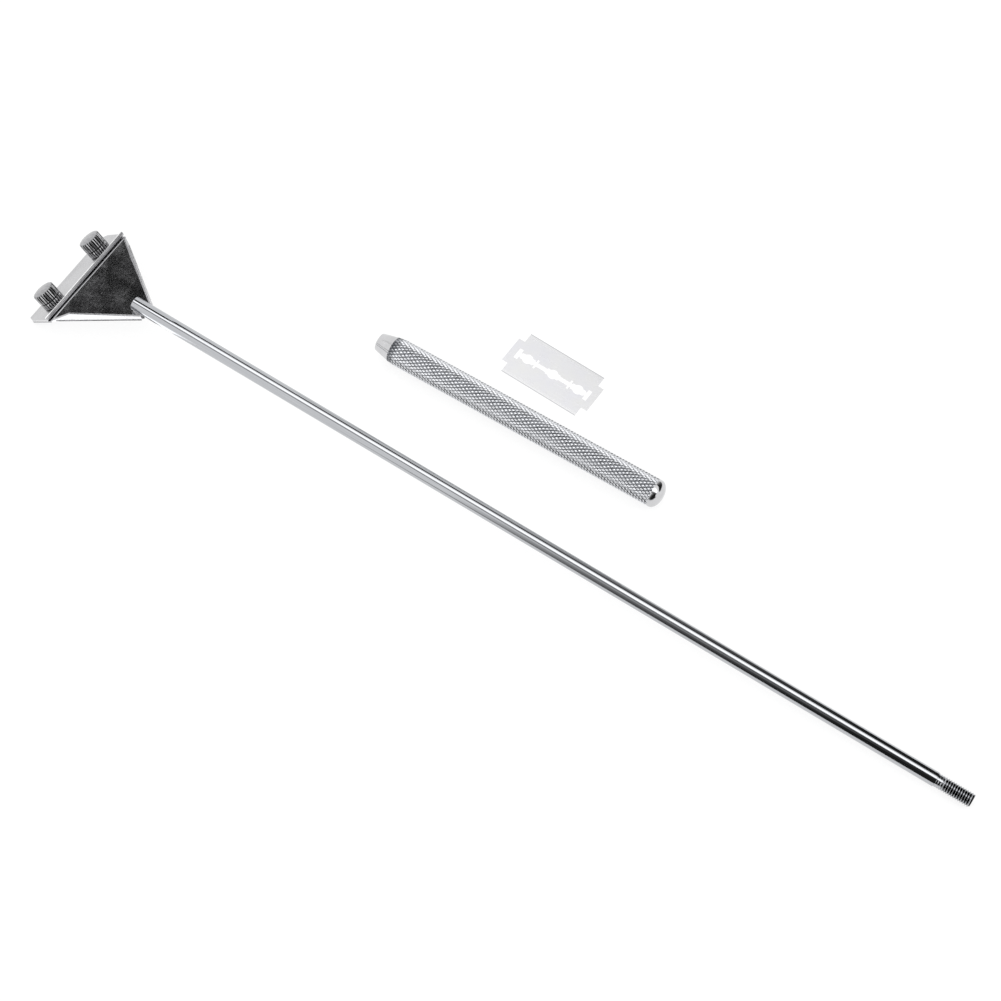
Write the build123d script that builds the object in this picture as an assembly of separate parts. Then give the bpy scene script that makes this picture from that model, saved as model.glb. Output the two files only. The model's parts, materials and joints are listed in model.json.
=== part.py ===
from build123d import *

import os
from math import atan2, cos, degrees, pi, radians, sin, tan

# Algae scraper for a fish tank, in millimetres: a stainless rod with a folded sheet head at one end and
# a screw thread at the other, a loose knurled handle that screws onto the thread, and a loose razor
# blade for the clamp in the head. All three lie on a table, whose top is the plane Z = 0.
# +X runs along the rod from the head to the thread, +Y towards the handle, and +Z is up.

# ---- driving dimensions ----
SHEET = 0.8              # thickness of the folded sheet parts

ROD_D = 6.0
ROD_START = 25.0         # end of the rod inside the head, from the head's front fold
TIP_X = 418.5            # far end of the thread, from the front fold
BLANK_D = 5.44           # bar turned down for the thread, bare between the rod and the thread
BLANK_LENGTH = 3.9
THREAD_D = 5.9           # crests of the rolled M6 x 1 thread
THREAD_LENGTH = 11.4
THREAD_CHAMFER = 0.5

HEAD_WIDTH = 50.8        # along the front fold
HEAD_LENGTH = 31.2       # front fold to the narrow end
HEAD_END_WIDTH = 7.8
FRONT_ANGLE = 43.0       # how far the front flange is folded down
FRONT_LENGTH = 15.8
FOLD_R = 1.2             # outside radius of the front fold
SIDE_FOLD_R = 1.0        # outside radius of the side folds
SIDE_RISE = 8.8          # length of the slope at the front of a side flange
SIDE_HEIGHT_FRONT = 5.6
SIDE_HEIGHT_END = 3.0

CLAMP_WIDTH = 51.8
CLAMP_LENGTH = 18.4      # lip to lower edge
CLAMP_GAP = 0.3          # blade slot between the front flange and the clamp plate
LIP_HEIGHT = 2.4         # stiffening lip, measured out from the front flange
LIP_R = 1.2
CORNER_ALONG = 4.4       # cut-off lower corners of the clamp plate
CORNER_ACROSS = 1.7

STUD_D = 4.0
STUD_HOLE_D = 4.4
STUD_HEAD_D = 6.5
STUD_HEAD = 1.2
STUD_SPACING = 31.0
STUD_DROP = 7.8          # stud axis below the front fold, along the flange
STUD_REACH = 7.0         # how far a stud stands out of the front flange

NUT_D = 9.9
NUT_HEIGHT = 8.1
NUT_COLLAR = 2.7         # knurled band below the groove
NUT_GROOVE = 0.5
NUT_DOME = 0.5
NUT_BORE_D = 4.2
NUT_BORE_DEPTH = 6.9
NUT_GAP = 0.1            # thumb nut to clamp plate

WELD_WIDTH = 2.7
WELD_HEIGHT = 1.3

HANDLE_D = 12.0
HANDLE_LENGTH = 137.0
HANDLE_TUBE_D = 9.0      # bore of the knurled tube
NOSE_TIP_D = 7.9
NOSE_LENGTH = 7.1        # smooth cone ahead of the knurling
NOSE_BASE_D = 11.0
NOSE_SPIGOT = 14.0
NOSE_BORE_D = 6.1
NOSE_BORE_DEPTH = 18.0
TAPER_LENGTH = 3.4       # knurled taper from the cone to the full diameter
DOME_LENGTH = 4.2
CAP_SPIGOT = 8.0
HANDLE_X = 118.3         # nose tip of the loose handle, from the head's front fold
HANDLE_Y = 44.0
HANDLE_TURN = 0.6        # direction of the handle, in degrees from the rod's

BLADE_LENGTH = 43.0
BLADE_WIDTH = 22.0
BLADE_EDGE = 37.2        # length of each cutting edge
BLADE_TAB = 12.6         # width of the end tabs
BLADE_THICKNESS = 0.1
SLOT_LENGTH = 36.0       # cut-out along the middle of the blade
SLOT_WIDTH = 1.9
SLOT_SPACING = 12.75     # between the round openings of the slot
SLOT_HOLE_D = 4.6
SLOT_NOTCH = (6.4, 2.9)  # wider stretch across each opening
SLOT_CROSS_X = 8.5
SLOT_CROSS = (0.9, 4.6)   # fine cross cut between two openings
SLOT_END_X = 17.4
SLOT_END = (1.8, 5.2)    # cross cut near each end of the slot
BLADE_X = 185.6          # centre of the loose blade, from the head's front fold
BLADE_Y = 73.0
BLADE_TURN = -2.4

# ---- axes of the tool: front fold along Y, underside of the rod on the web's top face Z = 0 ----
angle = radians(FRONT_ANGLE)
down = Vector(-cos(angle), 0, -sin(angle))        # down the front flange
out = Vector(-sin(angle), 0, cos(angle))          # out of the front flange, along the studs
front = Plane(origin=(0, 0, 0), x_dir=down, z_dir=(0, 1, 0))
rod_axis_z = ROD_D / 2

# The scraper lies on the lower edge of its clamp plate and on the tip of its thread.
clamp_foot = down * CLAMP_LENGTH + out * CLAMP_GAP
thread_foot = Vector(TIP_X - THREAD_CHAMFER, 0, rod_axis_z - THREAD_D / 2)
tilt = atan2(thread_foot.Z - clamp_foot.Z, thread_foot.X - clamp_foot.X)
lift = clamp_foot.X * sin(tilt) - clamp_foot.Z * cos(tilt)
lying = Pos(0, 0, lift) * Rot(0, degrees(tilt), 0)


def folded_front():
    """Front flange and the fold that joins it to the web."""
    flat = FOLD_R * tan(angle / 2)
    centre = Vector(flat, 0, -FOLD_R)
    inner_r = FOLD_R - SHEET

    def on_arc(radius, turn):
        return centre + Vector(-sin(turn), 0, cos(turn)) * radius

    flange = down * (FRONT_LENGTH - flat)
    outer_end = on_arc(FOLD_R, angle)
    inner_end = on_arc(inner_r, angle)
    outline = (
        ThreePointArc(on_arc(FOLD_R, 0), on_arc(FOLD_R, angle / 2), outer_end)
        + Line(outer_end, outer_end + flange)
        + Line(outer_end + flange, inner_end + flange)
        + Line(inner_end + flange, inner_end)
        + ThreePointArc(inner_end, on_arc(inner_r, angle / 2), on_arc(inner_r, 0))
        + Line(on_arc(inner_r, 0), on_arc(FOLD_R, 0))
    )
    return extrude(make_face(outline), HEAD_WIDTH / 2, dir=(0, 1, 0), both=True)


def side_flange():
    """Flange along the slanted edge on the +Y side, with the strip of web beside its fold."""
    run = Vector(HEAD_LENGTH, (HEAD_END_WIDTH - HEAD_WIDTH) / 2, 0)
    corner = (0, HEAD_WIDTH / 2, 0)
    across = Plane(origin=corner, x_dir=(-run.Y, run.X, 0), z_dir=run)
    along = Plane(origin=corner, x_dir=run, z_dir=(run.Y, -run.X, 0))
    strip = 3.0
    inner_r = SIDE_FOLD_R - SHEET
    outer_mid = SIDE_FOLD_R * (1 - cos(pi / 4))
    inner_mid = inner_r * (1 - cos(pi / 4))
    section = (
        Line((-strip, -SHEET), (-SIDE_FOLD_R, -SHEET))
        + ThreePointArc((-SIDE_FOLD_R, -SHEET), (-outer_mid, outer_mid - SHEET), (0, inner_r))
        + Line((0, inner_r), (0, SIDE_HEIGHT_FRONT))
        + Line((0, SIDE_HEIGHT_FRONT), (-SHEET, SIDE_HEIGHT_FRONT))
        + Line((-SHEET, SIDE_HEIGHT_FRONT), (-SHEET, inner_r))
        + ThreePointArc((-SHEET, inner_r), (-SHEET - inner_mid, inner_mid), (-SIDE_FOLD_R, 0))
        + Line((-SIDE_FOLD_R, 0), (-strip, 0))
        + Line((-strip, 0), (-strip, -SHEET))
    )
    profile = Polyline(
        (0, -2 * SHEET),
        (0, 0),
        (SIDE_RISE, SIDE_HEIGHT_FRONT),
        (run.length, SIDE_HEIGHT_END),
        (run.length, -2 * SHEET),
        close=True,
    )
    folded = extrude(across * make_face(section), run.length)
    return folded & extrude(along * make_face(profile), 2 * strip, both=True)


def head_plate():
    """One sheet: a triangular web, a front flange folded down and two side flanges folded up."""
    start = FOLD_R * tan(angle / 2)
    slope = (HEAD_WIDTH - HEAD_END_WIDTH) / 2 / HEAD_LENGTH
    inset = 1.5
    half_start = HEAD_WIDTH / 2 - slope * start
    half_end = HEAD_END_WIDTH / 2
    web = Polyline(
        (start, half_start - inset),
        (start, inset - half_start),
        (HEAD_LENGTH, inset - half_end),
        (HEAD_LENGTH, half_end - inset),
        close=True,
    )
    flange = side_flange()
    behind = (Align.MIN, Align.CENTER, Align.CENTER)
    front_room = Box(3 * HEAD_LENGTH, 2 * HEAD_WIDTH, 4 * SIDE_HEIGHT_FRONT, align=behind)
    front_room = Pos(start, 0, 0) * front_room
    sides = (flange + mirror(flange, Plane.XZ)) & front_room
    sheet = folded_front() + extrude(make_face(web), -SHEET) + sides
    for side in (-1, 1):
        sheet -= on_stud(side, STUD_DROP) * Cylinder(STUD_D / 2, 6 * SHEET)
    return sheet


def on_stud(side, drop):
    """A place on a stud's axis at the front flange's outer face, with its local Z out of the flange."""
    middle_of_hole = down * drop + Vector(0, side * STUD_SPACING / 2, 0)
    return Plane(origin=middle_of_hole, x_dir=(0, 1, 0), z_dir=out).location


def clamp_plate():
    """Folded plate that nips the blade: a stiffening lip along the top, cut-off corners below."""
    top = 0.35
    root = top + LIP_R
    inner_r = LIP_R - SHEET
    face = CLAMP_GAP
    outer_mid = LIP_R * (1 - cos(pi / 4))
    inner_mid = inner_r * (1 - cos(pi / 4))
    profile = (
        Line((CLAMP_LENGTH, face), (root, face))
        + ThreePointArc((root, face), (top + outer_mid, face + outer_mid), (top, face + LIP_R))
        + Line((top, face + LIP_R), (top, LIP_HEIGHT))
        + Line((top, LIP_HEIGHT), (top + SHEET, LIP_HEIGHT))
        + Line((top + SHEET, LIP_HEIGHT), (top + SHEET, face + LIP_R))
        + ThreePointArc(
            (top + SHEET, face + LIP_R),
            (top + SHEET + inner_mid, face + SHEET + inner_mid),
            (root, face + SHEET),
        )
        + Line((root, face + SHEET), (CLAMP_LENGTH, face + SHEET))
        + Line((CLAMP_LENGTH, face + SHEET), (CLAMP_LENGTH, face))
    )
    half = CLAMP_WIDTH / 2
    outline = Polyline(
        (0, half),
        (0, -half),
        (CLAMP_LENGTH - CORNER_ALONG, -half),
        (CLAMP_LENGTH, CORNER_ACROSS - half),
        (CLAMP_LENGTH, half - CORNER_ACROSS),
        (CLAMP_LENGTH - CORNER_ALONG, half),
        close=True,
    )
    flat_on = Plane(origin=(0, 0, 0), x_dir=down, z_dir=out)
    plate = extrude(front * make_face(profile), half, both=True)
    plate &= extrude(flat_on * make_face(outline), 2 * LIP_HEIGHT, both=True)
    for side in (-1, 1):
        plate -= on_stud(side, STUD_DROP) * Cylinder(STUD_HOLE_D / 2, 4 * SHEET)
    return plate


def stud(side):
    """Stud pressed through the front flange, with its head at the back."""
    shank = Cylinder(STUD_D / 2, STUD_REACH + SHEET, align=(Align.CENTER, Align.CENTER, Align.MIN))
    shank = chamfer(shank.edges().group_by(Axis.Z)[-1], 0.5)
    head = Cylinder(STUD_HEAD_D / 2, STUD_HEAD, align=(Align.CENTER, Align.CENTER, Align.MAX))
    head = fillet(head.edges().group_by(Axis.Z)[0], 0.5)
    return on_stud(side, STUD_DROP) * Pos(0, 0, -SHEET) * (shank + head)


def thumb_nut(side):
    """Blind thumb nut with a groove above its collar and a slightly domed end."""
    radius = NUT_D / 2
    edge = 0.4
    groove = NUT_COLLAR + NUT_GROOVE / 2
    shoulder = NUT_HEIGHT - NUT_DOME
    body = Polyline(
        (0, NUT_HEIGHT),
        (0, 0),
        (radius - edge, 0),
        (radius, edge),
        (radius, NUT_COLLAR),
        (radius - NUT_GROOVE, groove),
        (radius, NUT_COLLAR + NUT_GROOVE),
        (radius, shoulder - edge),
        (radius - edge, shoulder),
    )
    section = body + TangentArc((0, NUT_HEIGHT), (radius - edge, shoulder), tangent=(1, 0))
    nut = revolve(Plane.XZ * make_face(section), Axis.Z)
    nut -= Cylinder(NUT_BORE_D / 2, NUT_BORE_DEPTH, align=(Align.CENTER, Align.CENTER, Align.MIN))
    return on_stud(side, STUD_DROP) * Pos(0, 0, CLAMP_GAP + SHEET + NUT_GAP) * nut


def along_rod(x):
    """A place on the rod's axis, with its local Z towards the thread."""
    return Plane(origin=(x, 0, rod_axis_z), x_dir=(0, 1, 0), z_dir=(1, 0, 0)).location


def rod():
    """Round rod, turned down at its far end, with the thread rolled on the last of it."""
    thread_x = TIP_X - THREAD_LENGTH
    shoulder = thread_x - BLANK_LENGTH
    start = (Align.CENTER, Align.CENTER, Align.MIN)
    bar = Cylinder(ROD_D / 2, shoulder - ROD_START, align=start)
    bar = chamfer(bar.edges(), 0.3)
    blank = Cylinder(BLANK_D / 2, BLANK_LENGTH, align=start)
    thread = Cylinder(THREAD_D / 2, THREAD_LENGTH, align=start)
    thread = chamfer(thread.edges().group_by(Axis.Z)[-1], THREAD_CHAMFER)
    return along_rod(ROD_START) * bar + along_rod(shoulder) * blank + along_rod(thread_x) * thread


def rod_weld():
    """Fillet welds along both sides of the rod where it lies on the web."""
    length = HEAD_LENGTH - ROD_START - 0.4
    bead = Pos(ROD_START + 0.2, 0, 0) * Box(
        length, 2 * WELD_WIDTH, WELD_HEIGHT, align=(Align.MIN, Align.CENTER, Align.MIN)
    )
    bead -= along_rod(0) * Cylinder(ROD_D / 2, 2 * TIP_X)
    flange = side_flange()
    return bead - flange - mirror(flange, Plane.XZ)


def turned(points):
    """Revolve a half section, given as (distance from the nose tip, radius), about the handle's axis."""
    return revolve(make_face(Polyline(*points, close=True)), Axis.X)


def handle_nose():
    """Smooth cone with the blind threaded hole, on a spigot pressed into the tube."""
    spigot = HANDLE_TUBE_D / 2
    end = NOSE_LENGTH + NOSE_SPIGOT
    edge = 0.4
    cone = turned(
        [
            (0, 0),
            (0, NOSE_TIP_D / 2 - edge),
            (edge, NOSE_TIP_D / 2),
            (NOSE_LENGTH, NOSE_BASE_D / 2),
            (NOSE_LENGTH, spigot),
            (end, spigot),
            (end, 0),
        ]
    )
    hole = Cylinder(NOSE_BORE_D / 2, NOSE_BORE_DEPTH, align=(Align.CENTER, Align.CENTER, Align.MIN))
    hole = Rot(0, 90, 0) * hole
    cone -= hole
    rings = cone.edges().filter_by(GeomType.CIRCLE).group_by(Axis.X)[0]
    return chamfer(rings.sort_by(SortBy.RADIUS)[0], 0.4)


def handle_grip():
    """Knurled tube, tapered at the nose."""
    end = HANDLE_LENGTH - DOME_LENGTH
    tube = turned(
        [
            (NOSE_LENGTH, 0),
            (NOSE_LENGTH, NOSE_BASE_D / 2),
            (NOSE_LENGTH + TAPER_LENGTH, HANDLE_D / 2),
            (end, HANDLE_D / 2),
            (end, 0),
        ]
    )
    bore = Rot(0, 90, 0) * Cylinder(HANDLE_TUBE_D / 2, 3 * HANDLE_LENGTH)
    return tube - bore


def handle_end_cap():
    """Domed plug pressed into the far end of the tube."""
    radius = HANDLE_D / 2
    start = HANDLE_LENGTH - DOME_LENGTH
    rim = 0.6
    dome = EllipticalCenterArc((start + rim, 0), DOME_LENGTH - rim, radius, start_angle=0, arc_size=90)
    plug = Polyline(
        (HANDLE_LENGTH, 0),
        (start - CAP_SPIGOT, 0),
        (start - CAP_SPIGOT, HANDLE_TUBE_D / 2),
        (start, HANDLE_TUBE_D / 2),
        (start, radius),
        (start + rim, radius),
    )
    return revolve(make_face(plug + dome), Axis.X)


def blade_slot():
    """Cut-out of a double-edge razor blade, along its centre line."""
    slot = Rectangle(SLOT_LENGTH, SLOT_WIDTH)
    for x in (-SLOT_SPACING, 0, SLOT_SPACING):
        slot += Pos(x, 0) * Circle(SLOT_HOLE_D / 2)
        slot += Pos(x, 0) * Rectangle(*SLOT_NOTCH)
    for side in (-1, 1):
        slot += Pos(side * SLOT_CROSS_X, 0) * Rectangle(*SLOT_CROSS)
        slot += Pos(side * SLOT_END_X, 0) * Rectangle(*SLOT_END)
    return slot


def spare_blade():
    """Double-edge razor blade: two cutting edges, notched corners and a slot."""
    blank = Rectangle(BLADE_EDGE, BLADE_WIDTH)
    blank += Rectangle(BLADE_LENGTH, BLADE_TAB)
    return extrude(blank - blade_slot(), BLADE_THICKNESS)


on_table_handle = Pos(HANDLE_X, HANDLE_Y, HANDLE_D / 2) * Rot(0, 0, HANDLE_TURN)
on_table_blade = Pos(BLADE_X, BLADE_Y, 0) * Rot(0, 0, BLADE_TURN)

nodes = {
    "head_plate": lying * head_plate(),
    "clamp_plate": lying * clamp_plate(),
    "stud_left": lying * stud(-1),
    "stud_right": lying * stud(1),
    "thumb_nut_left": lying * thumb_nut(-1),
    "thumb_nut_right": lying * thumb_nut(1),
    "rod": lying * rod(),
    "rod_weld": lying * rod_weld(),
    "handle_nose": on_table_handle * handle_nose(),
    "handle_grip": on_table_handle * handle_grip(),
    "handle_end_cap": on_table_handle * handle_end_cap(),
    "spare_blade": on_table_blade * spare_blade(),
}

# The origin is on the table, under the middle of everything.
boxes = [shape.bounding_box() for shape in nodes.values()]
middle = Pos(
    -(min(b.min.X for b in boxes) + max(b.max.X for b in boxes)) / 2,
    -(min(b.min.Y for b in boxes) + max(b.max.Y for b in boxes)) / 2,
    0,
)

os.makedirs("parts", exist_ok=True)
for name, shape in nodes.items():
    export_step(middle * shape, f"parts/{name}.step")
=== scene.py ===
import json
from math import ceil, cos, exp, pi, radians, sin, sqrt

import bmesh
import bpy
from mathutils import Matrix, Vector


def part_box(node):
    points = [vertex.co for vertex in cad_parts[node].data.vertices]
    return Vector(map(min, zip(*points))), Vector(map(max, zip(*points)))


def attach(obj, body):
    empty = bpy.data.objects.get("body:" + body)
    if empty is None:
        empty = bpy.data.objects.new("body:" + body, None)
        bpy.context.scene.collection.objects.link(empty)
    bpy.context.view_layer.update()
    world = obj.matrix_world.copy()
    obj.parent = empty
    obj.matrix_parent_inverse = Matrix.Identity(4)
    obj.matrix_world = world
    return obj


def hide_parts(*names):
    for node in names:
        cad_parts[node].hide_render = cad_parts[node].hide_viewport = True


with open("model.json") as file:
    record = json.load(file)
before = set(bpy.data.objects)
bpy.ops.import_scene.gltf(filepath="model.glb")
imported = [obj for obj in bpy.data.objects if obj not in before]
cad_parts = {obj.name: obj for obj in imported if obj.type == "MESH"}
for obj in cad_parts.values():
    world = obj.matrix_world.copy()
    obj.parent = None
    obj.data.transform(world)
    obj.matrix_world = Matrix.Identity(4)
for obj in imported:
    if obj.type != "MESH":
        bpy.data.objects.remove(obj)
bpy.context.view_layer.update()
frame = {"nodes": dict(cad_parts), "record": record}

MM = 0.001
mounts = {mount["name"]: mount for mount in frame["record"]["mounts"]}
joints = {joint["name"]: joint for joint in frame["record"]["behaviour"]["joints"]}

# ---- camera ----
LOOK_AT = Vector((-0.0021, -0.0180, 0.0))
CAMERA_ELEVATION = radians(62.6)
CAMERA_AZIMUTH = radians(33.0)
CAMERA_DISTANCE = 0.8686
LENS = 77.2

camera = bpy.data.objects.new("camera", bpy.data.cameras.new("camera"))
bpy.context.scene.collection.objects.link(camera)
camera.data.lens = LENS
camera.data.clip_start = 0.01
camera.location = LOOK_AT + CAMERA_DISTANCE * Vector((
    cos(CAMERA_ELEVATION) * sin(CAMERA_AZIMUTH),
    -cos(CAMERA_ELEVATION) * cos(CAMERA_AZIMUTH),
    sin(CAMERA_ELEVATION),
))
camera.rotation_euler = (LOOK_AT - camera.location).to_track_quat("-Z", "Y").to_euler()
bpy.context.scene.camera = camera

# ---- dimensions, in millimetres ----
ROD_LENGTH = 393.5
ROD_R = 3.0
TIP_X = 418.5            # thread tip, from the head's front fold
SHOULDER = 378.2         # where the rod is turned down, from its end in the head
THREAD_LENGTH = 11.4
M6_CREST, M6_ROOT, M6_PITCH = 2.95, 2.39, 1.0
M6_BLANK = 2.72          # turned-down bar that the thread is rolled into
M4_CREST, M4_ROOT, M4_PITCH = 1.97, 1.58, 0.7
SHEET = 0.8
EDGE_BREAK = 0.12        # rounding of the sheets' cut edges
BROAD = 0.6              # faces wider than this are flat, narrower ones belong to a curve
MERGE = 1e-6             # corners of a CAD mesh nearer than this are one, in metres

# height of a thread's profile, from 0 at the root to 1 at the crest, along one pitch
THREAD_PROFILE = (
    (0, 1), (0.08, 1), (0.14, 0.92), (0.43, 0.1),
    (0.49, 0), (0.61, 0), (0.67, 0.1), (0.94, 0.92), (1, 1),
)


# ---- local frames ----
def axes(origin, x_axis, up):
    """A matrix whose local X is x_axis and whose local Z is as near to up as it can be."""
    x = Vector(x_axis).normalized()
    y = Vector(up).cross(x).normalized()
    turn = Matrix((x, y, x.cross(y))).transposed()
    return Matrix.Translation(origin) @ turn.to_4x4()


rod_axis = Vector(mounts["rod_thread"]["axis"])
tip = Vector(mounts["rod_thread"]["pos_m"]) + rod_axis * (THREAD_LENGTH / 2 * MM)
rod_frame = axes(tip - rod_axis * (ROD_LENGTH * MM), rod_axis, (0, 0, 1))
tool_frame = axes(tip - rod_axis * (TIP_X * MM), rod_axis, (0, 0, 1))
tool_frame = tool_frame @ Matrix.Translation((0, 0, -ROD_R * MM))

socket_axis = -Vector(mounts["handle_socket"]["axis"])
NOSE_BORE_DEPTH = 18.0
nose_tip = Vector(mounts["handle_socket"]["pos_m"]) - socket_axis * (NOSE_BORE_DEPTH / 2 * MM)
handle_frame = axes(nose_tip, socket_axis, (0, 0, 1))

stud_axis = Vector(joints["nut_left_turn"]["axis"])
stud_frames = {
    side: axes(Vector(joints[f"nut_{side}_turn"]["pos_m"]), stud_axis, (0, 0, 1))
    for side in ("left", "right")
}


# ---- mesh building, in millimetres along a local X axis ----
class Turning:
    """A closed solid built ring by ring about the local X axis."""

    def __init__(self, segments):
        self.mesh = bmesh.new()
        self.segments = segments
        self.last = None

    def point(self, x, radius, turn):
        return self.mesh.verts.new((x * MM, radius * cos(turn) * MM, radius * sin(turn) * MM))

    def join(self, before, after):
        count = len(after)
        for i in range(count):
            j = (i + 1) % count
            self.mesh.faces.new((before[i], before[j], after[j], after[i]))

    def ring(self, x, radius, wave=None):
        """A ring at x; wave(i) gives what is taken off the radius at each segment."""
        if radius == 0:
            pole = self.point(x, 0, 0)
            if self.last:
                for i, vert in enumerate(self.last):
                    self.mesh.faces.new((vert, self.last[(i + 1) % self.segments], pole))
            self.last = pole
            return
        verts = [
            self.point(x, radius - (wave(i) if wave else 0), 2 * pi * i / self.segments)
            for i in range(self.segments)
        ]
        if isinstance(self.last, bmesh.types.BMVert):
            for i, vert in enumerate(verts):
                self.mesh.faces.new((self.last, verts[(i + 1) % self.segments], vert))
        elif self.last:
            self.join(self.last, verts)
        self.last = verts

    def thread(self, start, end, pitch, radius):
        """A screw thread from start to end; radius(x, height) is its surface."""
        step = 1 if end > start else -1
        length = abs(end - start)
        turns = ceil(length / pitch) + 2
        parts = [part for part, _ in THREAD_PROFILE[:-1]]
        rows = [(turn + part) * pitch - pitch for turn in range(turns) for part in parts]
        sheet = []
        for i in range(self.segments):
            column = []
            turn = 2 * pi * i / self.segments
            for offset in rows:
                along = min(max(offset + pitch * i / self.segments, 0), length)
                phase = (along / pitch - i / self.segments) % 1
                x = start + step * along
                column.append(self.point(x, radius(x, crest_height(phase)), turn))
            sheet.append(column)
        if self.last:
            self.join(self.last, [column[0] for column in sheet])
        for i in range(self.segments):
            seam = len(parts) if i == self.segments - 1 else 0
            before, after = sheet[i], sheet[(i + 1) % self.segments]
            for j in range(len(rows) - 1 - seam):
                k = j + seam
                self.mesh.faces.new((before[j], after[k], after[k + 1], before[j + 1]))
        self.last = [column[-1] for column in sheet]


def crest_height(phase):
    """Height of the thread's profile at a phase from 0 to 1."""
    for (a, low), (b, high) in zip(THREAD_PROFILE, THREAD_PROFILE[1:]):
        if a <= phase <= b:
            return low + (high - low) * (phase - a) / (b - a)
    return THREAD_PROFILE[-1][1]


def smooth_step(value):
    value = min(max(value, 0), 1)
    return value * value * (3 - 2 * value)


def width(face):
    """About how wide a face is across its longest edge, in millimetres."""
    return face.calc_area() / max(edge.calc_length() for edge in face.edges) / MM


def piece(name, mesh, matrix, body, nodes, finishes, sharp=radians(28)):
    """Turns a bmesh into a finished piece that rides on a body and stands for CAD nodes."""
    bmesh.ops.remove_doubles(mesh, verts=mesh.verts, dist=1e-7)
    bmesh.ops.dissolve_degenerate(mesh, edges=mesh.edges, dist=1e-7)
    bmesh.ops.recalc_face_normals(mesh, faces=mesh.faces)
    flat = [width(face) > BROAD for face in mesh.faces]
    data = bpy.data.meshes.new(name)
    mesh.to_mesh(data)
    mesh.free()
    # a copied CAD mesh brings normals that no longer suit it
    if "custom_normal" in data.attributes:
        data.attributes.remove(data.attributes["custom_normal"])
    data.set_sharp_from_angle(angle=sharp)
    for face, is_flat in zip(data.polygons, flat):
        face.use_smooth = not is_flat
    for finish in finishes:
        data.materials.append(finish)
    made = bpy.data.objects.new(name, data)
    bpy.context.scene.collection.objects.link(made)
    made.matrix_world = matrix
    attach(made, body)
    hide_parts(*nodes)


def cad_mesh(node, matrix=Matrix()):
    """A CAD node's mesh with its flat faces whole, as seen from a local frame."""
    mesh = bmesh.new()
    mesh.from_mesh(frame["nodes"][node].data)
    mesh.transform(matrix.inverted())
    bmesh.ops.remove_doubles(mesh, verts=mesh.verts, dist=MERGE)
    bmesh.ops.dissolve_limit(mesh, angle_limit=radians(0.6), verts=mesh.verts, edges=mesh.edges)
    return mesh


def rounded_copy(node):
    """A folded sheet with its cut edges broken and given the second finish."""
    mesh = cad_mesh(node)
    corners = [
        edge for edge in mesh.edges if edge.is_manifold and edge.calc_face_angle() > radians(30)
    ]
    for face in mesh.faces:
        if width(face) < SHEET + 0.1 and all(edge in corners for edge in face.edges):
            face.material_index = 1
    rounded = bmesh.ops.bevel(
        mesh, geom=corners, offset=EDGE_BREAK * MM, offset_type="OFFSET", segments=2,
        profile=0.6, affect="EDGES", clamp_overlap=True,
    )
    for face in rounded["faces"]:
        face.material_index = 1
    return mesh


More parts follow.
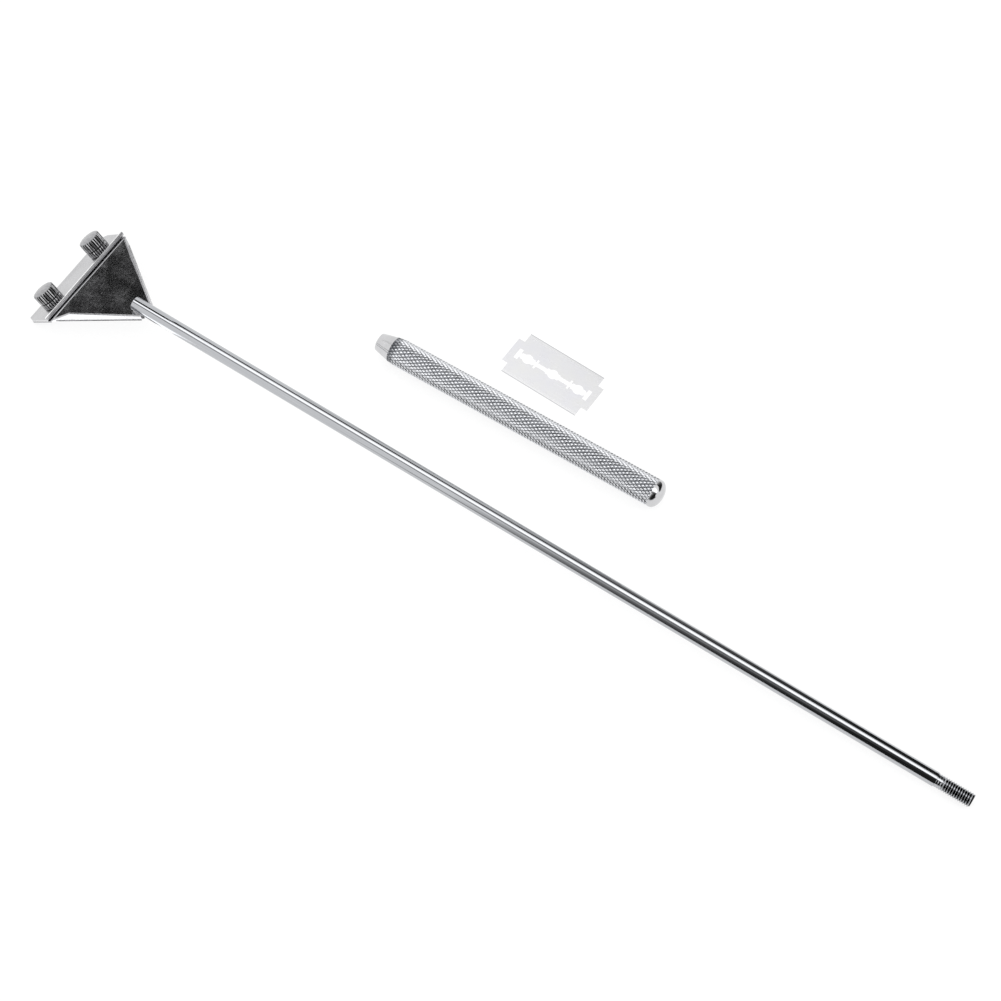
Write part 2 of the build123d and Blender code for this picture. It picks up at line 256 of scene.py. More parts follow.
# ---- finishes ----
class Finish:
    """A metal, with its colour, roughness and bump worked out from nodes."""

    def __init__(self, name, color, roughness):
        self.material = bpy.data.materials.new(name)
        self.material.use_nodes = True
        self.tree = self.material.node_tree
        self.shader = self.tree.nodes["Principled BSDF"]
        self.shader.inputs["Base Color"].default_value = (*color, 1)
        self.shader.inputs["Roughness"].default_value = roughness
        self.shader.inputs["Metallic"].default_value = 1.0
        self.place = self.add("ShaderNodeTexCoord").outputs["Object"]
        self.bump = None

    def add(self, kind, inputs=(), **settings):
        node = self.tree.nodes.new(kind)
        for key, value in settings.items():
            setattr(node, key, value)
        for key, value in dict(inputs).items():
            if isinstance(value, bpy.types.NodeSocket):
                self.tree.links.new(value, node.inputs[key])
            else:
                node.inputs[key].default_value = value
        return node

    def spots(self, scale, detail=2.0, distortion=0.0, stretch=(1, 1, 1)):
        """Noise from 0 to 1, with scale in features per metre and stretch per axis."""
        placed = self.add("ShaderNodeMapping", {"Vector": self.place, "Scale": stretch})
        noise = self.add(
            "ShaderNodeTexNoise",
            {
                "Vector": placed.outputs[0], "Scale": scale,
                "Detail": detail, "Distortion": distortion,
            },
        )
        return noise.outputs["Fac"]

    def between(self, value, low, high, start=0.3, end=0.7):
        """Maps value from start..end to low..high."""
        ramp = self.add(
            "ShaderNodeMapRange",
            {"Value": value, "From Min": start, "From Max": end, "To Min": low, "To Max": high},
        )
        return ramp.outputs["Result"]

    def math(self, operation, a, b=0.0):
        return self.add("ShaderNodeMath", {0: a, 1: b}, operation=operation).outputs[0]

    def parts(self):
        """The place's X, Y and Z, in metres."""
        return self.add("ShaderNodeSeparateXYZ", {0: self.place}).outputs

    def radius(self):
        """Distance from the local X axis, in millimetres."""
        parts = self.parts()
        flat = self.add("ShaderNodeCombineXYZ", {1: parts[1], 2: parts[2]}).outputs[0]
        length = self.add("ShaderNodeVectorMath", {0: flat}, operation="LENGTH").outputs["Value"]
        return self.math("MULTIPLY", length, 1 / MM)

    def along(self):
        """Place along the local X axis, in millimetres."""
        return self.math("MULTIPLY", self.parts()[0], 1 / MM)

    def mixed(self, amount, first, second):
        """A colour between two colours."""
        mix = self.add("ShaderNodeMix", {0: amount}, data_type="RGBA")
        for index, color in ((6, first), (7, second)):
            if isinstance(color, bpy.types.NodeSocket):
                self.tree.links.new(color, mix.inputs[index])
            else:
                mix.inputs[index].default_value = (*color, 1)
        return mix.outputs[2]

    def mixed_value(self, amount, first, second):
        """A number between two numbers."""
        span = self.math("SUBTRACT", second, first)
        return self.math("ADD", first, self.math("MULTIPLY", span, amount))

    def set(self, socket, value):
        self.tree.links.new(value, self.shader.inputs[socket])

    def relief(self, height, distance, strength=1.0):
        """Adds bump, with distance in millimetres."""
        bump = self.add(
            "ShaderNodeBump", {"Height": height, "Distance": distance * MM, "Strength": strength}
        )
        if self.bump:
            self.tree.links.new(self.bump.outputs[0], bump.inputs["Normal"])
        self.bump = bump
        self.tree.links.new(bump.outputs[0], self.shader.inputs["Normal"])

    def scratches(self, scale, angle):
        """Thin, broken straight scratches: 1 on a scratch."""
        stretch = (scale, scale * 0.04, scale)
        turned = self.add(
            "ShaderNodeMapping",
            {"Vector": self.place, "Rotation": (0, 0, angle), "Scale": stretch},
        )
        cells = self.add(
            "ShaderNodeTexVoronoi", {"Vector": turned.outputs[0], "Scale": 1.0},
            feature="DISTANCE_TO_EDGE",
        )
        line = self.between(cells.outputs["Distance"], 1, 0, 0, 0.03)
        breaks = self.between(self.spots(scale * 0.4), 0, 1, 0.5, 0.62)
        return self.math("MULTIPLY", line, breaks)


def sheet_finish():
    """Polished sheet with a faint haze, water marks and hairline scratches."""
    finish = Finish("polished_sheet", (0.50, 0.50, 0.515), 0.1)
    haze = finish.spots(750, detail=9, distortion=0.6)
    clouds = finish.spots(150, detail=4)
    hairs = finish.math("MAXIMUM", finish.scratches(900, 0.6), finish.scratches(700, -0.9))
    fine = finish.between(haze, 0.3, 0.9, 0.36, 0.7)
    patchy = finish.between(clouds, 0.25, 1.0, 0.35, 0.65)
    film = finish.math("MULTIPLY", fine, patchy)
    hazy = finish.between(film, 0.05, 0.12, 0, 1)
    finish.set("Roughness", finish.math("ADD", hazy, finish.math("MULTIPLY", hairs, 0.08)))
    dull = finish.math("MAXIMUM", film, hairs)
    finish.set("Metallic", finish.between(dull, 0.995, 0.87, 0.05, 0.9))
    finish.relief(clouds, 0.01, 0.4)
    return finish.material


def edge_finish(name, dim, bright):
    """Cut edge of a sheet."""
    finish = Finish(name, bright, 0.22)
    burr = finish.spots(1800, detail=4)
    finish.set("Base Color", finish.mixed(finish.between(burr, 0, 1), dim, bright))
    finish.set("Roughness", finish.between(burr, 0.16, 0.3))
    finish.relief(burr, 0.004, 0.5)
    return finish.material


def satin_finish():
    """Satin sheet, brushed along its length."""
    finish = Finish("satin_sheet", (0.53, 0.53, 0.54), 0.3)
    brushed = finish.spots(9000, detail=3, stretch=(1, 0.012, 1))
    clouds = finish.spots(90, detail=3)
    patchy = finish.between(clouds, 0, 1)
    finish.set("Base Color", finish.mixed(patchy, (0.50, 0.50, 0.51), (0.57, 0.57, 0.58)))
    finish.set("Roughness", finish.between(brushed, 0.24, 0.38))
    finish.relief(brushed, 0.004, 0.5)
    return finish.material


def rod_finish():
    """Bright drawn bar with faint lines along it, the odd rub mark and painted shade in its
    thread roots.
    """
    finish = Finish("bright_bar", (0.5, 0.5, 0.51), 0.08)
    drawn = finish.spots(5200, detail=3, stretch=(0.008, 1, 1))
    rubs = finish.spots(130, detail=5, stretch=(0.35, 1, 1))
    bright = finish.mixed(finish.between(drawn, 0, 1), (0.455, 0.465, 0.485), (0.52, 0.53, 0.55))
    # thread roots painted near black: painted shade in the grooves of the thread
    valley = finish.between(finish.radius(), 1, 0, M6_ROOT + 0.1, M6_CREST - 0.12)
    threaded = finish.between(finish.along(), 0, 1, SHOULDER + 1.5, SHOULDER + 5)
    painted_root_shade = finish.math("MULTIPLY", valley, threaded)
    finish.set("Base Color", finish.mixed(painted_root_shade, bright, (0.03, 0.03, 0.032)))
    rubbed = finish.between(rubs, 0.05, 0.15, 0.42, 0.75)
    finish.set("Roughness", finish.math("ADD", rubbed, finish.between(drawn, 0, 0.03)))
    finish.relief(drawn, 0.002, 0.35)
    return finish.material


def turned_finish(name, color, rough, rings):
    """Turned and polished steel with fine rings round its axis."""
    finish = Finish(name, color, rough)
    grooves = finish.spots(rings, detail=3, stretch=(1, 0.006, 0.006))
    smears = finish.spots(220, detail=4)
    pale = tuple(min(1, 1.07 * part) for part in color)
    dim = tuple(0.93 * part for part in color)
    finish.set("Base Color", finish.mixed(finish.between(smears, 0, 1), dim, pale))
    smeared = finish.between(smears, rough, rough + 0.08)
    finish.set("Roughness", finish.math("ADD", smeared, finish.between(grooves, 0, 0.03)))
    finish.relief(grooves, 0.002, 0.4)
    return finish.material


def knurl_finish():
    """Knurled steel: valleys painted dark as painted shade, mottled by noise; tops painted pale,
    partly rubbed polish and partly painted highlight.
    """
    finish = Finish("knurled_steel", (0.6, 0.6, 0.61), 0.16)
    top = finish.between(finish.radius(), 0, 1, HANDLE_R - 0.45, HANDLE_R - 0.04)
    knurl_mottle = finish.spots(400, detail=5)
    # valleys painted dark as painted shade in the grooves; tops painted near white as rubbed
    # polish plus painted highlight
    valley = finish.mixed(finish.between(knurl_mottle, 0, 1), (0.13, 0.135, 0.145), (0.36, 0.37, 0.39))
    finish.set("Base Color", finish.mixed(top, valley, (0.88, 0.89, 0.915)))
    rubbed = finish.between(top, 0.3, 0.24, 0, 1)
    finish.set("Roughness", finish.math("ADD", rubbed, finish.between(knurl_mottle, -0.06, 0.08)))
    finish.relief(finish.spots(1900, detail=6), 0.05, 0.8)
    return finish.material


def nut_finish():
    """Dull steel with its flutes painted near black towards their valleys as painted shade,
    crests a little paler, and a faced end with fine turned rings.
    """
    finish = Finish("nut_steel", (0.4, 0.4, 0.41), 0.28)
    radius = finish.radius()
    crest = finish.between(radius, 0, 1, NUT_R - 0.4, NUT_R - 0.06)
    end = NUT_BASE + NUT_HEIGHT
    end_face = finish.between(finish.along(), 0, 1, end - 0.62, end - 0.5)
    wear = finish.spots(900, detail=5)
    # flute valleys painted near black: painted shade in the flutes
    side = finish.mixed(crest, (0.02, 0.02, 0.022), (0.46, 0.46, 0.47))
    face = finish.mixed(finish.between(wear, 0, 1), (0.27, 0.27, 0.28), (0.43, 0.43, 0.44))
    finish.set("Base Color", finish.mixed(end_face, side, face))
    finish.set("Roughness", finish.between(wear, 0.1, 0.22))
    rings = finish.math("SINE", finish.math("MULTIPLY", radius, 2 * pi / RING_PITCH))
    finish.relief(finish.math("MULTIPLY", rings, end_face), 0.002, 0.5)
    finish.relief(wear, 0.004, 0.5)
    return finish.material


def blade_finish():
    """Thin rolled blade steel, ground bright along both cutting edges, with a dark line painted
    at the very edge as a painted reflection.
    """
    finish = Finish("blade_steel", (0.77, 0.77, 0.80), 0.26)
    rolled = finish.spots(4000, detail=3, stretch=(0.02, 1, 1))
    clouds = finish.spots(110, detail=3)
    inset = finish.math("SUBTRACT", BLADE_HALF * MM, finish.math("ABSOLUTE", finish.parts()[1]))
    ground = finish.between(inset, 1, 0, (GROUND - 0.05) * MM, (GROUND + 0.05) * MM)
    strokes = finish.spots(9000, detail=2, stretch=(1, 0.03, 1))
    body = finish.mixed(finish.between(clouds, 0, 1), (0.805, 0.805, 0.80), (0.785, 0.785, 0.82))
    # a darker line painted at the very edge: a painted dark reflection
    edge = finish.between(inset, 1, 0, (DARK_EDGE_LINE - 0.02) * MM, (DARK_EDGE_LINE + 0.04) * MM)
    bevel = finish.mixed(edge, (0.82, 0.82, 0.83), (0.55, 0.55, 0.57))
    finish.set("Base Color", finish.mixed(ground, body, bevel))
    milled, stoned = finish.between(rolled, 0.27, 0.33), finish.between(strokes, 0.14, 0.24)
    finish.set("Roughness", finish.mixed_value(ground, milled, stoned))
    finish.relief(rolled, 0.0006, 0.25)
    return finish.material


def weld_finish():
    """Cleaned weld bead."""
    finish = Finish("weld_bead", (0.55, 0.55, 0.55), 0.28)
    grain = finish.spots(1500, detail=5)
    mottled = finish.between(grain, 0, 1)
    finish.set("Base Color", finish.mixed(mottled, (0.66, 0.655, 0.645), (0.86, 0.86, 0.86)))
    finish.set("Roughness", finish.between(grain, 0.3, 0.46))
    finish.relief(grain, 0.02, 0.5)
    return finish.material


# ---- rod, with its rolled thread ----
THREAD_CHAMFER = 0.5
RUN_IN = 2.2             # the thread reaches its full depth over this length
ROD_BREAK = 0.28         # rounding of the rod's end in the head
ROD_RINGS = 8            # lengths that its plain part is divided into
ROD_TIP_R = 2.1


def build_rod():
    """Bar with a broken edge at its start and a thread that runs in from the turned-down neck."""
    full = ROD_LENGTH - THREAD_LENGTH

    def surface(x, height):
        depth = 0.3 + 0.7 * smooth_step((x - full + RUN_IN) / (RUN_IN + 0.2))
        crest = M6_BLANK + (M6_CREST - M6_BLANK) * depth
        root = M6_BLANK + (M6_ROOT - M6_BLANK) * depth
        limit = M6_CREST - THREAD_CHAMFER + (ROD_LENGTH - x)
        return min(root + (crest - root) * height, limit)

    bar = Turning(64)
    start = 0.6
    for x, cut in ((0, ROD_R), (0, ROD_BREAK), (0.06, 0.16), (ROD_BREAK, 0), (start, 0)):
        bar.ring(x, ROD_R - cut)
    for part in range(1, ROD_RINGS):
        bar.ring(start + (SHOULDER - 0.8) * part / ROD_RINGS, ROD_R)
    for back, cut in ((0.2, 0), (0.05, 0.06), (0, 0.16)):
        bar.ring(SHOULDER - back, ROD_R - cut)
    bar.thread(SHOULDER, ROD_LENGTH, M6_PITCH, surface)
    bar.ring(ROD_LENGTH, ROD_TIP_R)
    bar.ring(ROD_LENGTH, 0)
    return bar.mesh


piece("rod_bar", build_rod(), rod_frame, "scraper", ["rod"], [rod_finish()])


# ---- head sheet, clamp plate and studs ----
sheared_edge = edge_finish("sheared_edge", (0.40, 0.40, 0.41), (0.54, 0.54, 0.55))
# clamp plate's cut edges painted near white: a dressed edge plus a painted highlight along the
# lip
dressed_painted_highlight_edge = edge_finish("dressed_painted_highlight_edge", (0.78, 0.78, 0.79), (0.93, 0.93, 0.94))
piece(
    "head_sheet", rounded_copy("head_plate"), Matrix(),
    "scraper", ["head_plate"], [sheet_finish(), sheared_edge],
)
piece(
    "clamp_sheet", rounded_copy("clamp_plate"), Matrix(),
    "clamp_plate", ["clamp_plate"], [satin_finish(), dressed_painted_highlight_edge],
)

STUD_REACH = 7.0
STUD_HEAD_R, STUD_HEAD = 3.25, 1.2
STUD_ROUNDING = 0.5
STUD_SHANK_R = 2.0


def build_stud():
    """Pressed-in stud: local X = 0 is the front flange's outer face."""

    def surface(x, height):
        limit = M4_CREST - THREAD_CHAMFER + (STUD_REACH - x)
        return min(M4_ROOT + (M4_CREST - M4_ROOT) * height, limit)

    back = -SHEET - STUD_HEAD
    bar = Turning(48)
    bar.ring(back, 0)
    bar.ring(back, STUD_HEAD_R - STUD_ROUNDING)
    for step in (1, 2, 3):
        turn = step * pi / 6
        inside = STUD_HEAD_R - STUD_ROUNDING
        bar.ring(back + STUD_ROUNDING * (1 - cos(turn)), inside + STUD_ROUNDING * sin(turn))
    for x, radius in (
        (-SHEET - 0.05, STUD_HEAD_R), (-SHEET, STUD_HEAD_R - 0.05),
        (-SHEET, STUD_SHANK_R), (0.05, STUD_SHANK_R), (0.1, M4_CREST),
    ):
        bar.ring(x, radius)
    bar.thread(0.1, STUD_REACH, M4_PITCH, surface)
    bar.ring(STUD_REACH, 0)
    return bar.mesh


stud_metal = turned_finish("stud_steel", (0.5, 0.5, 0.51), 0.2, 6000)
for side, stud_frame in stud_frames.items():
    piece(
        f"stud_{side}_threaded", build_stud(), stud_frame,
        "scraper", [f"stud_{side}"], [stud_metal],
    )


# ---- thumb nuts ----
NUT_R = 4.95
NUT_HEIGHT = 8.1
NUT_BASE = 1.2           # underside of the nut, from the front flange
NUT_COLLAR = 2.7
NUT_GROOVE = 0.5
NUT_DOME = 0.5           # rise of the end face, its rounded rim included
NUT_BORE_R, NUT_BORE_DEPTH = 2.1, 6.9
NUT_END_R = NUT_R - 0.5
FLUTES = 26
FLUTE_DEPTH = 0.5
RING_PITCH = 0.09        # turned rings on the end face


def build_nut():
    """Blind nut with a straight knurl, a groove above its collar and a slightly domed end."""
    flank = (1.0, 0.7, 0.28, 0.04, 0.0, 0.04, 0.28, 0.7)

    def fluted(depth):
        return lambda i: FLUTE_DEPTH * depth * flank[i % len(flank)]

    shoulder = NUT_HEIGHT - NUT_DOME
    nut = Turning(FLUTES * len(flank))
    nut.ring(NUT_BASE + NUT_BORE_DEPTH, 0)
    nut.ring(NUT_BASE + NUT_BORE_DEPTH, NUT_BORE_R)
    nut.ring(NUT_BASE + 0.3, NUT_BORE_R)
    nut.ring(NUT_BASE, NUT_BORE_R + 0.3)
    nut.ring(NUT_BASE, NUT_R - 0.45)
    nut.ring(NUT_BASE + 0.12, NUT_R - 0.22, fluted(0.45))
    for x, radius, depth in (
        (0.4, NUT_R, 1),
        (NUT_COLLAR - 0.1, NUT_R, 1),
        (NUT_COLLAR, NUT_R - 0.06, 0.85),
        (NUT_COLLAR + 0.2, NUT_R - NUT_GROOVE, 0),
        (NUT_COLLAR + NUT_GROOVE - 0.2, NUT_R - NUT_GROOVE, 0),
        (NUT_COLLAR + NUT_GROOVE, NUT_R - 0.06, 0.85),
        (NUT_COLLAR + NUT_GROOVE + 0.1, NUT_R, 1),
        (shoulder - 0.5, NUT_R, 1),
        (shoulder - 0.2, NUT_R - 0.1, 0.8),
        (shoulder, NUT_R - 0.32, 0.15),
        (shoulder + 0.06, NUT_END_R, 0),
    ):
        nut.ring(NUT_BASE + x, radius, fluted(depth))
    rise = NUT_DOME - 0.06
    for part in (0.8, 0.6, 0.4, 0.2):
        nut.ring(NUT_BASE + NUT_HEIGHT - rise * part * part, NUT_END_R * part)
    nut.ring(NUT_BASE + NUT_HEIGHT, 0)
    return nut.mesh


nut_metal = nut_finish()
for side, stud_frame in stud_frames.items():
    body = f"thumb_nut_{side}"
    piece(f"{body}_knurled", build_nut(), stud_frame, body, [body], [nut_metal])


# ---- weld beads between the rod and the web ----
WELD_START, WELD_END = 25.2, 30.8
WELD_WIDTH, WELD_HEIGHT = 2.7, 1.3
WELD_END_WIDTH, WELD_END_HEIGHT = 1.45, 0.2
WELD_CROWN = 0.16
RIPPLES, RIPPLE_DEPTH = 9, 0.09      # depth is a part of the bead's size


def build_weld():
    """A crowned, rippled fillet on each side of the rod, its hidden side inside the rod."""
    mesh = bmesh.new()
    stations, points = 34, 9
    for side in (-1, 1):
        rows = []
        for i in range(stations + 1):
            part = i / stations
            ends = sqrt(max(0, 1 - abs(2 * part - 1) ** 6))
            ripple = 1 - RIPPLE_DEPTH * abs(sin(pi * part * RIPPLES + 0.4 * side))
            swell = ends * ripple
            foot = WELD_END_WIDTH + (WELD_WIDTH - WELD_END_WIDTH) * swell
            top = WELD_END_HEIGHT + (WELD_HEIGHT - WELD_END_HEIGHT) * swell
            rim = sqrt(ROD_R**2 - (ROD_R - top) ** 2)
            row = []
            for j in range(points + 1):
                t = j / points
                y = foot + (rim - foot) * t
                z = top * t + WELD_CROWN * swell * sin(pi * t) * (1 if t < 1 else 0)
                row.append((y - 0.02 * sin(pi * t), z))
            inside = (row[-1][0] - 0.25, row[-1][1] - 0.12)
            under = (foot - 0.3, -0.05)
            row = [*row, inside, under]
            x = WELD_START + (WELD_END - WELD_START) * part
            rows.append([mesh.verts.new((x * MM, side * y * MM, z * MM)) for y, z in row])
        for before, after in zip(rows, rows[1:]):
            for j in range(len(before)):
                k = (j + 1) % len(before)
                mesh.faces.new((before[j], before[k], after[k], after[j]))
        mesh.faces.new(rows[0])
        mesh.faces.new(rows[-1])
    return mesh


piece(
    "weld_beads", build_weld(), tool_frame,
    "scraper", ["rod_weld"], [weld_finish()], radians(50),
)


# ---- handle ----
HANDLE_R = 6.0
HANDLE_LENGTH = 137.0
TUBE_R = 4.5
NOSE_TIP_R, NOSE_BASE_R, NOSE_LENGTH = 3.95, 5.5, 7.1
NOSE_SPIGOT = 14.0
NOSE_BORE_R, NOSE_CREST = 3.05, 2.55
NOSE_BORE_END_R, NOSE_MOUTH_R = 2.3, 3.3
NOSE_BREAK = 0.4
TAPER_LENGTH = 3.4
DOME_LENGTH = 4.2
CAP_SPIGOT = 8.0
KNURLS_ROUND = 24        # diamonds round the handle
KNURL_LENGTH = 2.7       # one diamond along the handle
KNURL_DEPTH = 0.46


def build_nose():
    """Smooth cone with the M6 thread cut inside it."""

    def surface(x, height):
        mouth = NOSE_CREST + max(0, NOSE_MOUTH_R - NOSE_CREST - x)
        return max(NOSE_BORE_R + (NOSE_CREST - NOSE_BORE_R) * height, mouth)

    slope = (NOSE_BASE_R - NOSE_TIP_R) / (NOSE_LENGTH - NOSE_BREAK)
    nose = Turning(96)
    nose.ring(NOSE_BORE_DEPTH, 0)
    nose.ring(NOSE_BORE_DEPTH, NOSE_BORE_END_R)
    nose.thread(NOSE_BORE_DEPTH - 0.6, 0.02, M6_PITCH, surface)
    nose.ring(0, NOSE_MOUTH_R)
    for x, cut in ((0, NOSE_BREAK), (0.05, 0.23), (0.2, 0.07), (NOSE_BREAK, 0)):
        nose.ring(x, NOSE_TIP_R - cut)
    for x in (2.0, 4.0, 6.0):
        nose.ring(x, NOSE_TIP_R + slope * (x - NOSE_BREAK))
    for x, radius in ((NOSE_LENGTH, NOSE_BASE_R), (NOSE_LENGTH, TUBE_R)):
        nose.ring(x, radius)
    nose.ring(NOSE_LENGTH + NOSE_SPIGOT, TUBE_R)
    nose.ring(NOSE_LENGTH + NOSE_SPIGOT, 0)
    return nose.mesh


def build_grip():
    """Tube with a diamond knurl, its grid lined up with the grooves so that they stay crisp."""
    per_knurl = 6
    heights = (0.0, 0.6, 0.93, 1.0)     # of a diamond at each step from its groove
    columns = KNURLS_ROUND * per_knurl
    start, end = NOSE_LENGTH, HANDLE_LENGTH - DOME_LENGTH
    rows = round((end - start) / KNURL_LENGTH * per_knurl)
    mesh = bmesh.new()

    def groove(i, j):
        """Steps from the nearest groove of each family, from 0 to 3."""
        first, second = (i + j) % per_knurl, (i - j) % per_knurl
        return min(first, per_knurl - first), min(second, per_knurl - second)

    def ring(x, radii):
        turns = [2 * pi * i / columns for i in range(columns)]
        return [
            mesh.verts.new((x * MM, radius * cos(turn) * MM, radius * sin(turn) * MM))
            for radius, turn in zip(radii, turns)
        ]

    surface = []
    for j in range(rows + 1):
        x = start + (end - start) * j / rows
        full = min(HANDLE_R, NOSE_BASE_R + (HANDLE_R - NOSE_BASE_R) * (x - start) / TAPER_LENGTH)
        depth = KNURL_DEPTH * (0.5 + 0.5 * smooth_step((x - start) / 0.6))
        cuts = [depth * (1 - heights[min(groove(i, j))]) for i in range(columns)]
        surface.append(ring(x, [full - cut for cut in cuts]))
    for j in range(rows):
        for i in range(columns):
            k = (i + 1) % columns
            a, b, c, d = surface[j][i], surface[j][k], surface[j + 1][k], surface[j + 1][i]
            falling = min(groove(i, j)) + min(groove(i + 1, j + 1))
            rising = min(groove(i + 1, j)) + min(groove(i, j + 1))
            halves = ((a, b, c), (a, c, d)) if falling < rising else ((a, b, d), (b, c, d))
            for half in halves:
                mesh.faces.new(half)
    near, far = ring(start, [TUBE_R] * columns), ring(end, [TUBE_R] * columns)
    for before, after in ((surface[-1], far), (far, near), (near, surface[0])):
        for i in range(columns):
            k = (i + 1) % columns
            mesh.faces.new((before[i], before[k], after[k], after[i]))
    return mesh


def build_cap():
    """Domed plug pressed into the end of the grip."""
    start = HANDLE_LENGTH - DOME_LENGTH
    rim = 0.6            # straight part before the dome
    cap = Turning(96)
    cap.ring(start - CAP_SPIGOT, 0)
    cap.ring(start - CAP_SPIGOT, TUBE_R)
    cap.ring(start, TUBE_R)
    cap.ring(start, HANDLE_R - 0.12)
    cap.ring(start + 0.05, HANDLE_R - 0.03)
    cap.ring(start + 0.15, HANDLE_R)
    steps = 18           # rings in the dome
    for step in range(steps):
        turn = step / steps * pi / 2
        cap.ring(start + rim + (DOME_LENGTH - rim) * sin(turn), HANDLE_R * cos(turn))
    cap.ring(HANDLE_LENGTH, 0)
    return cap.mesh


polished = turned_finish("polished_steel", (0.6, 0.6, 0.61), 0.05, 3500)
piece(
    "nose_cone", build_nose(), handle_frame,
    "handle", ["handle_nose"], [polished],
)
piece(
    "knurled_grip", build_grip(), handle_frame,
    "handle", ["handle_grip"], [knurl_finish()], radians(24),
)
piece(
    "end_cap_dome", build_cap(), handle_frame,
    "handle", ["handle_end_cap"], [polished],
)


# ---- spare blade ----
BLADE_HALF = 11.0
BLADE_TURN = radians(-2.4)
GROUND = 1.3             # width of the ground bevel along a cutting edge
DARK_EDGE_LINE = 0.3              # width of the dark line painted at the very edge, a painted reflection


def build_blade():
    """The blade thinned towards its cutting edges."""
    mesh = cad_mesh("spare_blade", blade_frame)
    for side in (-1, 1):
        for inset in (GROUND, DARK_EDGE_LINE):
            geometry = mesh.verts[:] + mesh.edges[:] + mesh.faces[:]
            line = (0, side * (BLADE_HALF - inset) * MM, 0)
            bmesh.ops.bisect_plane(mesh, geom=geometry, plane_co=line, plane_no=(0, 1, 0))
    middle = sum(vert.co.z for vert in mesh.verts) / len(mesh.verts)
    for vert in mesh.verts:
        outer = abs(vert.co.y) / MM - (BLADE_HALF - GROUND)
        if outer > 1e-4:
            vert.co.z = middle + (vert.co.z - middle) * (1 - 0.9 * outer / GROUND)
    return mesh


low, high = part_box("spare_blade")
blade_frame = Matrix.Translation((low + high) / 2) @ Matrix.Rotation(BLADE_TURN, 4, "Z")
piece(
    "razor_blade", build_blade(), blade_frame,
    "spare_blade", ["spare_blade"], [blade_finish()], radians(2),
)


# ---- studio ----
def emitter(name):
    """A material that glows as bright as its mesh's shade attribute says."""
    material = bpy.data.materials.new(name)
    material.use_nodes = True
    nodes, links = material.node_tree.nodes, material.node_tree.links
    nodes.clear()
    shade = nodes.new("ShaderNodeAttribute")
    shade.attribute_name = "shade"
    glow = nodes.new("ShaderNodeEmission")
    links.new(shade.outputs["Fac"], glow.inputs["Strength"])
    links.new(glow.outputs[0], nodes.new("ShaderNodeOutputMaterial").inputs["Surface"])
    return material


card_glow = emitter("card_glow")


def card(name, corner, side_a, side_b, shade, steps=(1, 1)):
    """A flag or soft box that only reflections see; shade is its brightness, or gives it."""
    corner, side_a, side_b = Vector(corner), Vector(side_a), Vector(side_b)
    mesh = bmesh.new()
    rows = [
        [
            mesh.verts.new(corner + side_a * i / steps[0] + side_b * j / steps[1])
            for i in range(steps[0] + 1)
        ]
        for j in range(steps[1] + 1)
    ]
    for before, after in zip(rows, rows[1:]):
        for i in range(steps[0]):
            mesh.faces.new((before[i], before[i + 1], after[i + 1], after[i]))
    data = bpy.data.meshes.new(name)
    mesh.to_mesh(data)
    mesh.free()
    layer = data.attributes.new("shade", "FLOAT", "POINT")
    for index, vert in enumerate(data.vertices):
        layer.data[index].value = shade(vert.co) if callable(shade) else shade
    data.materials.append(card_glow)
    made = bpy.data.objects.new(name, data)
    bpy.context.scene.collection.objects.link(made)
    for ray in ("camera", "diffuse", "transmission", "volume_scatter", "shadow"):
        setattr(made, f"visible_{ray}", False)


def falling(x, start, length):
    """Brightness that falls away past start."""
    return exp(-max(0, x - start) / length)


# the cards' places, in metres
ROOM = 0.33              # height above the table
NEAR_WALL, FAR_WALL = -0.33, 0.27
DARK_START = -0.09       # along the rod, where the near side turns dark
BOX_NEAR, BOX_DEPTH = -0.085, 0.155
BOX_START = -0.36
FLAG_HEIGHT = 0.3
JOINT, JOINT_HALF = -0.165, 0.06
DARK = 0.02


def near_wall(point):
    """Dark beyond the middle of the rod, and paler towards its top."""
    up = point.z / ROOM
    return max(DARK, falling(point.x, DARK_START, 0.045 + 0.05 * up))


def near_table(point):
    """The near wall's dark part carries on over the table."""
    return max(0.03, falling(point.x, DARK_START, 0.06))


def far_wall(point):
    """Dark beyond the head, and paler towards the table."""
    down = 1 - point.z / ROOM
    return 0.85 * max(0.025, falling(point.x, -0.12 + 0.09 * down, 0.075))


def near_roof(point):
    """Pale panel that fades along the rod, with a soft dark joint across it."""
    outward = (point.y - BOX_NEAR) / (NEAR_WALL - BOX_NEAR)
    inner, outer = 1.15 * falling(point.x, 0.03, 0.2), falling(point.x, DARK_START, 0.13)
    level = inner + (outer - inner) * min(1, outward / 0.5)
    joint = max(0, 1 - abs(point.y - JOINT) / JOINT_HALF)
    return 1.1 * level * (1 - joint) + 0.03 * joint


def tool_point(x, y, z):
    """A place given in the tool's frame, in millimetres."""
    return tool_frame @ Vector((x * MM, y * MM, z * MM))


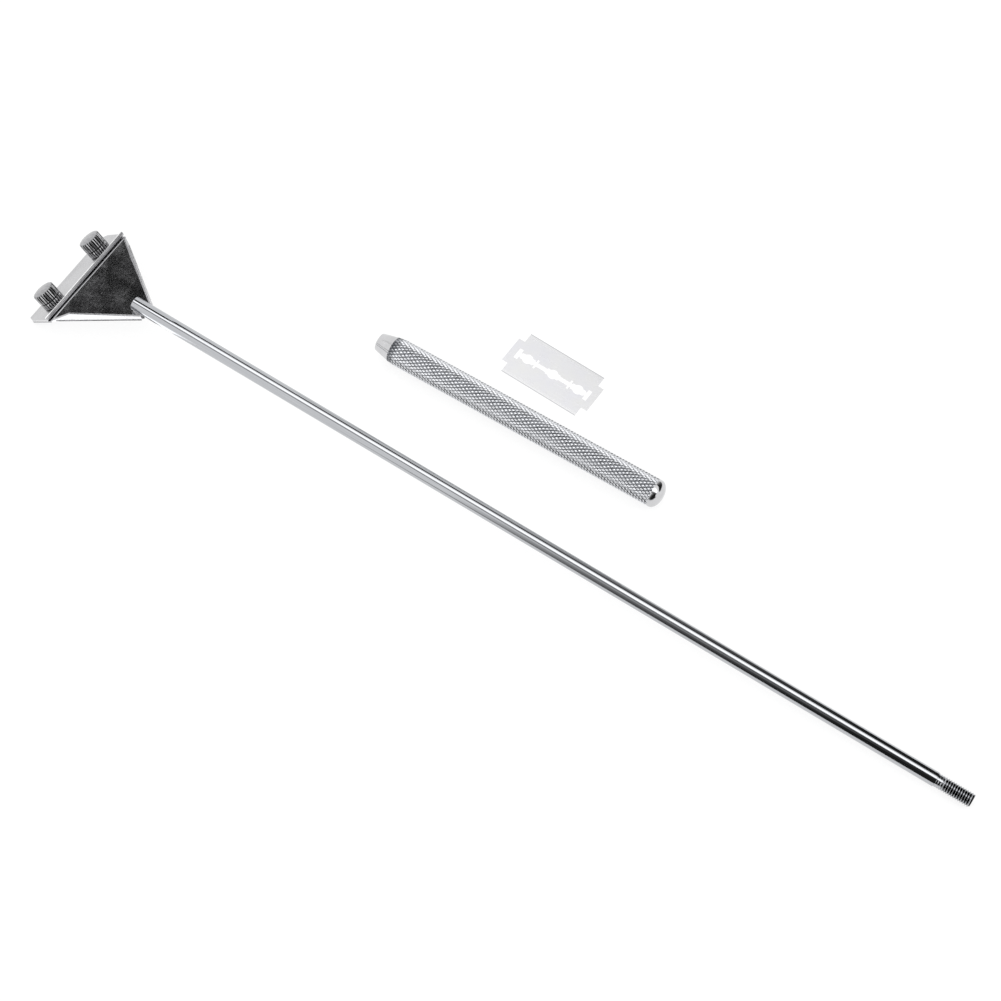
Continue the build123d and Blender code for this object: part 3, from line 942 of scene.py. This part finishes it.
card("near_wall", (DARK_START, NEAR_WALL, 0.002), (1.1, 0, 0), (0, 0, ROOM), near_wall, (60, 8))
card("far_wall", (-0.2, FAR_WALL, 0.002), (1.1, 0, 0), (0, 0, ROOM), far_wall, (60, 8))
card(
    "near_roof", (BOX_START, NEAR_WALL, ROOM), (1.3, 0, 0), (0, BOX_NEAR - NEAR_WALL, 0),
    near_roof, (60, 49),
)
card("soft_box", (BOX_START, BOX_NEAR, ROOM), (1.0, 0, 0), (0, BOX_DEPTH, 0), 2.1)
card("web_flag", (-0.35, 0.012, FLAG_HEIGHT), (0.08, 0, 0), (0, 0.15, 0), DARK)
card(
    "table_flag", (DARK_START, NEAR_WALL, 0.001), (1.1, 0, 0), (0, 0.268, 0),
    near_table, (60, 1),
)
card("edge_reflector", (-0.206, -0.080, 0.0005), (0.045, 0, 0), (0, 0.045, 0), 2.1)

# a strip beside the rod, along its whole free length
strip = tool_point(40, 5.5, 15)
card("rod_flag", strip, tool_point(425, 5.5, 15) - strip, tool_point(40, 11, 15) - strip, 0.03)

# a strip on the table beside the near flange's fold, which runs from fold_start to fold_end
fold_start, fold_end = tool_point(0, -25.4, 0), tool_point(31.2, -3.9, 0)
fold_line = (fold_end - fold_start) * Vector((1, 1, 0))
outward = fold_line.cross(Vector((0, 0, 1))).normalized() * MM
strip = Vector((fold_start.x, fold_start.y, MM)) + 7 * outward
card("fold_flag", strip, fold_line - 0.5 * outward, -6 * outward, 0.16)

world = bpy.data.worlds.new("studio")
world.use_nodes = True
world.node_tree.nodes["Background"].inputs["Color"].default_value = (1, 1, 1, 1)
world.node_tree.nodes["Background"].inputs["Strength"].default_value = 1.06
bpy.context.scene.world = world
bpy.context.scene.view_settings.view_transform = "Standard"

floor_mesh = bmesh.new()
bmesh.ops.create_grid(floor_mesh, x_segments=1, y_segments=1, size=6)
floor_data = bpy.data.meshes.new("floor")
floor_mesh.to_mesh(floor_data)
floor_mesh.free()
floor = bpy.data.objects.new("floor", floor_data)
bpy.context.scene.collection.objects.link(floor)
floor_finish = bpy.data.materials.new("white_table")
floor_finish.use_nodes = True
floor_shader = floor_finish.node_tree.nodes["Principled BSDF"]
floor_shader.inputs["Base Color"].default_value = (0.26, 0.26, 0.26, 1)
floor_shader.inputs["Emission Color"].default_value = (1, 1, 1, 1)
floor_shader.inputs["Emission Strength"].default_value = 0.79
floor_shader.inputs["Roughness"].default_value = 0.9
floor_shader.inputs["Specular IOR Level"].default_value = 0.0
floor_data.materials.append(floor_finish)
